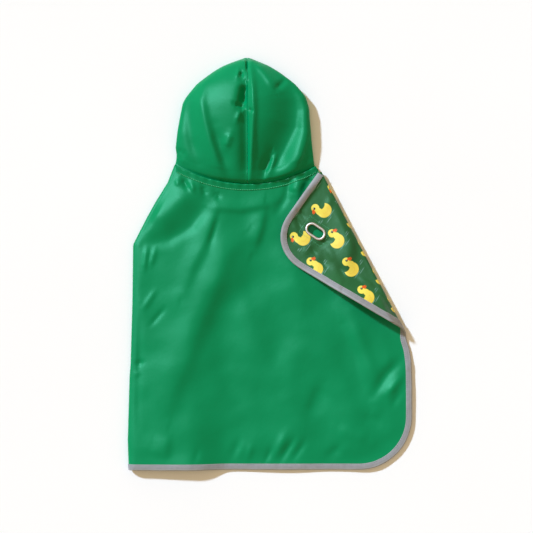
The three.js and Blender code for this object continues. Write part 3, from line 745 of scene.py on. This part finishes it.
SHELL = shell_material()
LINING = lining_material()
GREY_TAPE = tape_material()
GREEN_THREAD = thread_material("green_thread", srgb(104, 218, 160), srgb(52, 172, 118))
GREY_THREAD = thread_material("grey_thread", srgb(112, 113, 116), srgb(74, 75, 79))
METAL = metal_material()

# ---------------------------------------------------------------- the cape's grid
UNDER_COLUMNS = (10, 12)  # round the left fold, and flat beyond it
FLAP_COLUMNS = (12, 44)  # round the right fold, and flat beyond it
BODY_COLUMNS = 138
FOLD_ROWS, SIDE_ROWS, CORNER_ROWS = 92, 41, 22
SAG_ROWS = 14  # over how many rows the neckline's curve dies out


def row_heights():
    above = np.linspace(NECK_LEFT[1], SIDE_FOOT[1], FOLD_ROWS)
    side = np.linspace(SIDE_FOOT[1], HEM_Y + HEM_CORNER, SIDE_ROWS)[1:]
    turn = np.linspace(0, math.pi / 2, CORNER_ROWS + 1)[1:]
    corner = HEM_Y + HEM_CORNER - HEM_CORNER * np.sin(turn)
    return np.concatenate([above, side, corner]), len(above) - 1


def strip_stations(length, arc, bends, flats):
    if length <= arc:
        return length * np.arange(1, bends + flats + 1) / (bends + flats)
    bent = arc * np.arange(1, bends + 1) / bends
    flat = arc + (length - arc) * np.arange(1, flats + 1) / flats
    return np.concatenate([bent, flat])


def cape_row(y, row, foot_row):
    start, radius = (float(value) for value in left_roll(np.array(y)))
    arc = math.pi * radius
    length = arc + max(0.2, float(under_edge(y)) - start)
    under = start - strip_stations(length, arc, *UNDER_COLUMNS)[::-1]
    t = min(FOLD_FOOT_T, (FOLD_TOP[1] - y) / -ALONG[1])
    t = 0.0 if row == 0 else max(t, 3.0)
    if row == foot_row:
        t = FOLD_FOOT_T
    bend = float(right_roll(np.array(t)))
    end = fold_point(t, -bend) if row <= foot_row else (float(right_side(y)), y)
    if y < HEM_Y + HEM_CORNER:
        drop = HEM_Y + HEM_CORNER - y
        end = (SIDE_X - HEM_CORNER + math.sqrt(max(0.0, HEM_CORNER ** 2 - drop ** 2)), y)
    x = np.linspace(start, end[0], BODY_COLUMNS + 1)
    chord = mix(y, end[1], np.linspace(0, 1, BODY_COLUMNS + 1))
    sag = neckline(x) - mix(NECK_LEFT[1], NECK_RIGHT[1], np.clip((x - NECK_LEFT[0]) / NECK_SPAN, 0, 1))
    body_y = chord + sag * math.exp(-row / SAG_ROWS)
    if row == 0:
        body_y = np.minimum(neckline(x), chord + 9)
    body_y[-1] = end[1]
    places = [np.stack([under, np.full_like(under, y)], axis=-1), np.stack([x, body_y], axis=-1)]
    if row <= foot_row:
        reach = 0.0 if row == foot_row else float(front_reach(np.array(t)))
        s = strip_stations(reach, math.pi * bend, *FLAP_COLUMNS)
        places.append(np.stack(fold_point(t, s - bend), axis=-1))
    return np.concatenate(places)


ROW_YS, FOOT_ROW = row_heights()
CAPE_ROWS = [cape_row(float(y), row, FOOT_ROW) for row, y in enumerate(ROW_YS)]
CAPE_PLACES = np.concatenate(CAPE_ROWS)
CAPE_MIDDLE, CAPE_NORMALS = surface(*CAPE_PLACES.T)


def cape_index():
    index = []
    count = 0
    for row in CAPE_ROWS:
        index.append(list(range(count, count + len(row))))
        count += len(row)
    foot = index[FOOT_ROW]
    last = foot[sum(UNDER_COLUMNS) + BODY_COLUMNS]
    index[FOOT_ROW] = [min(vertex, last) for vertex in foot]
    return index


EYELET_CUT = (147.0, 88.2)  # the eyelet's middle on the unfolded cloth
EYELET_HOLE = 5.75  # half the width of its hole
EYELET_SPAN = 12.0  # between the centres of its round ends
EYELET_RIM = 3.65  # width of the metal round the hole
HOLE_MARGIN = 2.0  # the cloth is cut this much wider, under the metal


def without_hole(faces):
    """Faces of the cape that stay outside the eyelet's hole."""
    x, y = CAPE_PLACES[:, 0] - EYELET_CUT[0], CAPE_PLACES[:, 1] - EYELET_CUT[1]
    past = np.maximum(0, np.abs(y) - EYELET_SPAN / 2)
    inside = np.hypot(x, past) < EYELET_HOLE + HOLE_MARGIN
    return [face for face in faces if not all(inside[vertex] for vertex in face)]


CAPE_FACES = without_hole(grid_faces(cape_index()))


def cape_layer(name, low, high, material):
    outer = CAPE_MIDDLE + CAPE_NORMALS * high
    inner = CAPE_MIDDLE + CAPE_NORMALS * low
    return closed_sheet(name, outer, inner, CAPE_FACES, CAPE_PLACES, material)


# ---------------------------------------------------------------- edge tape
def even_path(points, pitch):
    """The same path with points a pitch apart."""
    points = np.asarray(points, float)
    lengths = np.concatenate([[0], np.cumsum(np.hypot(*(points[1:] - points[:-1]).T))])
    stations = np.linspace(0, lengths[-1], max(2, round(lengths[-1] / pitch) + 1))
    return np.stack([np.interp(stations, lengths, points[:, k]) for k in range(2)], axis=-1)


def eased_path(points, pitch, passes):
    """An even path with its kinks rounded off."""
    path = even_path(points, pitch)
    for _ in range(passes):
        path[1:-1] = (path[:-2] + 2 * path[1:-1] + path[2:]) / 4
    return path


def inward_of(path):
    run = unit(np.gradient(path, axis=0))
    return np.stack([run[:, 1], -run[:, 0]], axis=-1)


def row_ends(first, last):
    return [CAPE_ROWS[row][-1] for row in range(first, last)]


JOIN_ROW = int(np.argmin(np.abs(ROW_YS - TAPE_JOIN_Y)))
HEM_ROW_PLACES = CAPE_ROWS[-1][::-1][:-UNDER_COLUMNS[1] + 1]
FRONT_TAPE_PATH = eased_path(row_ends(0, JOIN_ROW + 1), 2.2, 12)
HEM_TAPE_PATH = eased_path(row_ends(JOIN_ROW, len(CAPE_ROWS) - 1) + list(HEM_ROW_PLACES), 2.4, 3)
UNDER_TAPE_PATH = eased_path([row[0] for row in CAPE_ROWS[2:-2]][::-1], 3.0, 3)


def tape_piece(name, path, doubled_end=0.0):
    """Tape folded round the edge. doubled_end lifts a first stretch that lies over another tape."""
    inward = inward_of(path)
    reaches = np.linspace(0, TAPE_WIDTH, 7)
    grid = path[:, None, :] + inward[:, None, :] * reaches[None, :, None]
    points, normals = surface(grid[..., 0], grid[..., 1])
    run = np.gradient(points[:, 0], axis=0)
    out = unit(-np.cross(run, normals[:, 0]))
    along = np.concatenate([[0], np.cumsum(np.linalg.norm(points[1:, 0] - points[:-1, 0], axis=1))])
    lift = doubled_end * (1 - ramp(along, 9, 11))
    ripple = 0.12 * np.sin(along / 7.0) + 0.08 * np.sin(along / 3.1 + 1.3)

    def section(gap, puff):
        crown = np.sin(np.clip(reaches / TAPE_WIDTH, 0, 1) * math.pi) * 0.25 * puff
        rise = (STACK + gap + lift[:, None] + crown[None, :] + puff * ripple[:, None])[..., None]
        upper = points + normals * rise
        lower = points - normals * rise
        nose = []
        for angle in (55, 25, 0, -25, -55):
            turn = math.radians(angle)
            reach = (STACK + gap) * math.cos(turn) * 0.85
            height = (STACK + gap + lift) * math.sin(turn)
            nose.append(points[:, 0] + out * reach + normals[:, 0] * height[:, None])
        return np.concatenate([upper[:, ::-1], np.stack(nose, axis=1), lower], axis=1)

    outer = section(TAPE_GAP + TAPE, 1.0)
    inner = section(TAPE_GAP, 0.0)
    across = np.concatenate([reaches[::-1], [0.0] * 5, reaches])
    uvs = np.stack(np.broadcast_arrays(along[:, None], across[None, :]), axis=-1)
    return closed_sheet(name, outer, inner, grid_faces(grid_index(*outer.shape[:2])), uvs, GREY_TAPE)


# ---------------------------------------------------------------- stitches
def stitch_piece(name, points, normals, runs, length, width, material):
    """A row of thread stitches as rounded bars, one at each point."""
    sides = 6
    shares = (-0.5, -0.36, -0.12, 0.12, 0.36, 0.5)
    widths = (0.25, 0.8, 1.0, 1.0, 0.8, 0.25)
    drops = (-0.9, -0.15, 0.0, 0.0, -0.15, -0.9)
    vertices, faces = [], []
    for point, normal, run in zip(points, normals, runs):
        run = run - normal * (run @ normal)
        run = run / np.linalg.norm(run)
        side = np.cross(normal, run)
        first = len(vertices)
        for share, wide, drop in zip(shares, widths, drops):
            middle = point + run * share * length + normal * width * (0.15 + drop)
            for k in range(sides):
                turn = 2 * math.pi * k / sides
                out = side * math.cos(turn) + normal * math.sin(turn) * 0.8
                vertices.append(middle + out * wide * width / 2)
        for ring in range(len(shares) - 1):
            for k in range(sides):
                a = first + ring * sides + k
                b = first + ring * sides + (k + 1) % sides
                faces.append([a, b, b + sides, a + sides])
        faces.append([first + k for k in reversed(range(sides))])
        faces.append([first + (len(shares) - 1) * sides + k for k in range(sides)])
    uvs = np.zeros((len(vertices), 2))
    return new_object(name, vertices, [face[::-1] for face in faces], uvs, material, 80)


def stitch_row(name, path, pitch, lift, length, width, material):
    """Stitches along a path on the unfolded cloth. lift is off the middle surface, along its normal."""
    path = even_path(path, pitch)
    points, normals = surface(*path.T)
    ahead, _ = surface(*(path + np.gradient(path, axis=0) * 0.2).T)
    return stitch_piece(name, points + normals * lift, normals * math.copysign(1, lift), ahead - points,
                        length, width, material)


def offset_path(path, distance):
    return path + inward_of(path) * distance


# ---------------------------------------------------------------- neck band
def neck_band():
    """The turned edge of the body's neckline, stitched down over the hood's base."""
    x = np.linspace(NECK_LEFT[0] + 2.5, NECK_RIGHT[0] + 1.0, 150)
    profile = [(-1.8, 0.0), (-1.7, 1.2), (-0.9, 2.0), (0.7, 1.9), (2.6, 1.2), (4.6, 0.9), (6.2, 0.5),
               (7.4, 0.35), (8.2, 0.0)]
    y = neckline(x)
    base_y = y[:, None] - np.array([max(0.1, down) for down, _ in profile])[None, :]
    points, normals = surface(np.repeat(x[:, None], len(profile), axis=1), base_y)
    over = np.array([min(0.0, down) for down, _ in profile])
    points = points + np.stack([np.zeros_like(over), -over, np.zeros_like(over)], axis=-1)[None, :, :]
    puckers = 1 + 0.14 * np.sin(x / 1.9) + 0.1 * np.sin(x / 4.3)
    rise = np.array([up for _, up in profile])[None, :] * puckers[:, None]
    outer = points + normals * (STACK + 0.05 + rise)[..., None]
    inner = points + normals * (STACK + 0.01)
    faces = grid_faces(grid_index(len(x), len(profile)), True)
    uvs = np.stack(np.broadcast_arrays(x[:, None], base_y), axis=-1)
    return closed_sheet("neck_band_visual", outer, inner, faces, uvs, SHELL)


# ---------------------------------------------------------------- hood
HOOD_ROWS = 120  # from the neck to the tip
HOOD_TOP = 90  # columns over the top, round the outer edge and beneath
HOOD_ROLL = 10
HOOD_UNDER = 16
HOOD_REST = 0.6  # height of its underside


def hood_panel(name, side):
    outline = HOOD_LEFT if side < 0 else HOOD_RIGHT
    top_y = HOOD_HIGH[1]
    v = np.linspace(0, 1, HOOD_ROWS + 1)[:, None]
    share = 1 - (1 - np.linspace(0, 1, HOOD_TOP + 1)[None, :]) ** 1.25
    outer_y = mix(outline[0][0], top_y, v)
    seam_y = mix(float(neckline(np.array(SEAM_X))) + 0.8, top_y, v)
    rounding = np.clip((top_y - outer_y) * 0.5, 0.2, 4.0)
    half = (smooth_look_up(outline, outer_y, rounding) - SEAM_X) * side - HOOD_GAP
    x = SEAM_X + side * (HOOD_GAP + half * share)
    y = mix(neckline(x) + 0.8, mix(seam_y, outer_y, share ** 2), np.clip(v * 12, 0, 1))
    widest = smooth_look_up(HOOD_ROLLS, v, 0.03)
    spread = np.clip((1 - v) * 0.3, 0.01, 0.06)
    crown = np.maximum(smooth_look_up(HOOD_HEIGHTS, v, spread), widest)
    shape = (1 - share ** 2.3) ** 0.62
    base_x = np.maximum(x, NECK_LEFT[0] + 4)
    neck_top = body_height(base_x, neckline(base_x)) + STACK - 0.6
    folds = crease_height(HOOD_CREASES, x, y) * (1 - share ** 5) * np.clip(v * 9, 0, 1)
    puffed = widest + (crown - widest) * shape
    z = mix(neck_top, puffed + folds, np.clip(v * 18, 0, 1) ** 0.8)
    z = np.maximum(z, 1.2)
    edge_x, edge_y, edge_z = x[:, -1:], y[:, -1:], z[:, -1:]
    inset = np.minimum(0.6 * widest, half * 0.3)
    turn = np.linspace(0, math.pi / 2, HOOD_ROLL + 1)[None, 1:]
    roll_x = edge_x - side * inset * (1 - np.cos(turn))
    roll_z = (edge_z - HOOD_REST) * (1 - np.sin(turn)) + HOOD_REST
    reach = (half - inset) * look_up(HOOD_UNDER_REACH, v)
    under_share = np.linspace(0, 1, HOOD_UNDER + 1)[None, 1:]
    under_x = edge_x - side * (inset + reach * under_share)
    under_z = np.full_like(under_x, HOOD_REST)
    grid_x = np.concatenate([x, roll_x, under_x], axis=1)
    grid_y = np.concatenate([y, np.repeat(edge_y, HOOD_ROLL + HOOD_UNDER, axis=1)], axis=1)
    grid_z = np.concatenate([z, roll_z, under_z], axis=1)
    grid = np.stack([grid_x, grid_y, grid_z], axis=-1)
    normal = np.cross(np.gradient(grid, axis=1), np.gradient(grid, axis=0)) * side
    normal[:, 0, 0] = 0
    normal = unit(normal)
    faces = grid_faces(grid_index(*grid.shape[:2]), side > 0)
    widths = np.linalg.norm(np.diff(grid, axis=1, prepend=grid[:, :1]), axis=-1)
    uvs = np.stack([side * np.cumsum(widths, axis=1), grid_y], axis=-1)
    return closed_sheet(name, grid, grid - normal * CLOTH, faces, uvs, SHELL)


# ---------------------------------------------------------------- eyelet
def eyelet_piece():
    """A rolled metal rim round an oblong hole, clamped over both layers."""
    points, normals = surface(*[np.array([value]) for value in EYELET_CUT])
    ahead, _ = surface(*[np.array([value]) for value in (EYELET_CUT[0], EYELET_CUT[1] + 1)])
    centre = points[0]
    up = -normals[0]
    long = ahead[0] - centre
    long = long - up * (long @ up)
    long /= np.linalg.norm(long)
    wide = np.cross(up, long)
    top = STACK + 0.05
    profile = []
    for k in range(15):
        angle = math.pi * (1 - k / 14)
        profile.append((EYELET_RIM / 2 * (1 + math.cos(angle)), top + 0.1 + 1.5 * math.sin(angle) ** 0.8))
    profile += [(EYELET_RIM - 0.3, top), (0.9, top), (0.7, -top), (EYELET_RIM - 0.6, -top),
                (EYELET_RIM - 0.5, -top - 0.6), (0.9, -top - 0.8), (0.1, -top - 0.3)]
    around = 96
    vertices = []
    for k in range(around):
        turn = 2 * math.pi * k / around
        end = 1 if math.cos(turn) >= 0 else -1
        for out, height in profile:
            a = end * EYELET_SPAN / 2 + (EYELET_HOLE + out) * math.cos(turn)
            b = (EYELET_HOLE + out) * math.sin(turn)
            vertices.append(centre + long * a + wide * b + up * height)
    rings = len(profile)
    faces = []
    for k in range(around):
        for j in range(rings):
            a, b = k * rings + j, k * rings + (j + 1) % rings
            c, d = (k + 1) % around * rings + j, (k + 1) % around * rings + (j + 1) % rings
            faces.append([a, b, d, c])
    uvs = np.zeros((len(vertices), 2))
    return new_object("eyelet_visual", vertices, faces, uvs, METAL, 60)


# ---------------------------------------------------------------- build every piece
shell = cape_layer("cape_shell_visual", CLOTH_GAP, STACK, SHELL)
lining = cape_layer("cape_lining_visual", -STACK, -CLOTH_GAP, LINING)
band = neck_band()
hood_left = hood_panel("hood_left_visual", -1)
hood_right = hood_panel("hood_right_visual", 1)
front_tape = tape_piece("tape_right_front_visual", FRONT_TAPE_PATH)
hem_tape = tape_piece("tape_hem_visual", HEM_TAPE_PATH, 0.5)
under_tape = tape_piece("tape_left_front_visual", UNDER_TAPE_PATH)
eyelet = eyelet_piece()

STITCH = 1.9  # length of one stitch
NECK_STITCHES_DOWN = 6.9  # below the neckline
TAPE_STITCHES_IN = TAPE_WIDTH - 1.1  # in from the taped edge
neck_x = np.linspace(NECK_LEFT[0] + 5, NECK_RIGHT[0] - 1, 120)
neck_path = np.stack([neck_x, neckline(neck_x) - NECK_STITCHES_DOWN], axis=-1)
neck_row = stitch_row("neck_stitches", neck_path, 2.4, STACK + 0.6, 1.7, 0.95, GREEN_THREAD)
stitches = [(neck_row, "shell")]
for name, path in (("front", FRONT_TAPE_PATH), ("hem", HEM_TAPE_PATH)):
    row = offset_path(path, TAPE_STITCHES_IN)
    for face, sign in (("outer", 1), ("inner", -1)):
        lift = sign * (TAPE_OUTER + 0.1)
        made = stitch_row(f"{name}_tape_{face}_stitches", row, 2.9, lift, STITCH, 0.5, GREY_THREAD)
        stitches.append((made, "tape"))

BOX = (13.6, 18.2)  # half sizes of the stitched box round the eyelet
corners = [(-BOX[0], -BOX[1]), (BOX[0], -BOX[1]), (BOX[0], BOX[1]), (-BOX[0], BOX[1]), (-BOX[0], -BOX[1])]
box_path = np.array([(EYELET_CUT[0] + a, EYELET_CUT[1] + b) for a, b in corners])
box_lift = -(STACK + 0.02)
box = stitch_row("eyelet_box_stitches", box_path, 2.6, box_lift, STITCH, 0.42, GREEN_THREAD)
stitches.append((box, "lining"))

# ---------------------------------------------------------------- what each piece stands for
for piece, slot, nodes in (
    (shell, "shell", ("cape_shell",)),
    (lining, "lining", ("cape_lining",)),
    (band, "shell", ("neck_band",)),
    (hood_left, "shell", ("hood_left",)),
    (hood_right, "shell", ("hood_right",)),
    (front_tape, "tape", ("tape_right_front", "tape_right_side")),
    (hem_tape, "tape", ("tape_hem",)),
    (under_tape, "tape", ("tape_left_front",)),
    (eyelet, "metal", ("eyelet",)),
):
    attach(piece, "root")
    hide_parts(*nodes)
for piece, slot in stitches:
    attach(piece, "root")

# ---------------------------------------------------------------- floor, light and camera
FLOOR = 9.0  # half its side, in metres
floor_mesh = bpy.data.meshes.new("floor")
floor_mesh.from_pydata([(-FLOOR, -FLOOR, 0), (FLOOR, -FLOOR, 0), (FLOOR, FLOOR, 0), (-FLOOR, FLOOR, 0)],
                       [], [(0, 1, 2, 3)])
floor_mesh.materials.append(floor_material())
floor = put_in_scene("floor", floor_mesh)

world = bpy.data.worlds.new("studio")
world.use_nodes = True
bpy.context.scene.world = world
background = world.node_tree.nodes["Background"]
background.inputs["Color"].default_value = (1.0, 0.77, 0.473, 1)
background.inputs["Strength"].default_value = 0.6

LIGHT_SIDE = Vector((-0.743, 0.669, 0))


def sun(name, height, energy, spread):
    """A soft light from the upper left, at a height in degrees."""
    data = bpy.data.lights.new(name, "SUN")
    data.energy = energy
    data.color = (0.632, 0.793, 1.0)
    data.angle = math.radians(spread)
    lamp = put_in_scene(name, data)
    rise = math.radians(height)
    toward = LIGHT_SIDE * math.cos(rise) + Vector((0, 0, math.sin(rise)))
    lamp.rotation_euler = toward.to_track_quat("Z", "Y").to_euler()
    return lamp


# The key gives light and shadow, and the sheen is only seen mirrored in glossy cloth and metal.
key = sun("key", 29, 5.1, 4)
key.visible_glossy = False
sheen = sun("sheen", 60, 3.6, 30)
sheen.visible_diffuse = False

camera_data = bpy.data.cameras.new("camera")
LENS, SENSOR = 85, 36
camera_data.lens = LENS
camera_data.sensor_width = SENSOR
camera_data.clip_end = 20
camera = put_in_scene("camera", camera_data)
FRAME_WIDTH = 0.7462  # of what the camera sees at the height of the cloth, in metres
CLOTH_HEIGHT = 0.004
camera.location = (-0.0049, -0.0046, FRAME_WIDTH * LENS / SENSOR + CLOTH_HEIGHT)
bpy.context.scene.camera = camera
bpy.context.scene.view_settings.view_transform = "Standard"
